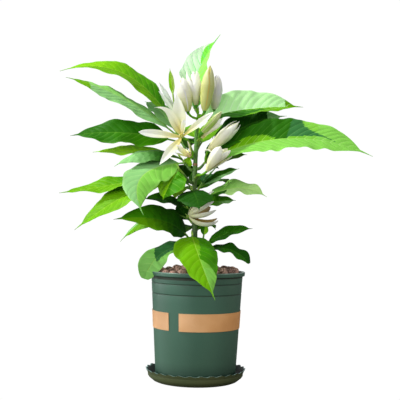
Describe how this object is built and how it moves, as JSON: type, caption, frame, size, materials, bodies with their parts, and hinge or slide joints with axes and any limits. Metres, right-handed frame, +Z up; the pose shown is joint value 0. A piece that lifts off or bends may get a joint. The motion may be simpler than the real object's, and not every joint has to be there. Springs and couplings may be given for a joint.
{
  "type": "potted white champaca",
  "caption": "Young white champaca in flower: an upright stem with large glossy leaves, white blossoms and buds, in a round green pot with clay pebbles and a scalloped saucer",
  "frame": {"origin": "Middle of the saucer's flat underside, the face that the potted plant stands on. The pot's axis is the Z axis.", "axes": "+Z is up. -Y is the side that the plant shows in the picture, +X is to that picture's right and +Y goes away from the viewer."},
  "size_m": [0.4439, 0.2374, 0.5009],
  "materials": {
    "green_plastic": "satin",
    "kraft_strip": "matte",
    "potting_mix": "matte",
    "fired_clay": "matte",
    "green_bark": "satin",
    "leaf": "satin",
    "petal": "satin"
  },
  "bodies": {
    "root": {"saucer": "green_plastic", "pot": "green_plastic", "strip": "kraft_strip", "soil": "potting_mix", "pebbles": "fired_clay", "trunk": "green_bark", "bough_left": "green_bark", "bough_lower_left": "green_bark", "bough_right": "green_bark", "bough_upper_left": "green_bark", "spray_back_high": "leaf", "spray_back_low": "leaf", "spray_back_mid": "leaf", "spray_foot": "leaf", "spray_foot_left": "leaf", "spray_foot_right": "leaf", "spray_front": "leaf", "spray_left": "leaf", "spray_low_left": "leaf", "spray_low_right": "leaf", "spray_lower_left": "leaf", "spray_mid_right": "leaf", "spray_middle": "leaf", "spray_right": "leaf", "spray_top": "leaf", "spray_upper_left": "leaf", "spray_blossom": "petal", "spray_half_open": "petal", "spray_high_right": "petal", "spray_low_flower": "petal"}
  },
  "joints": []
}
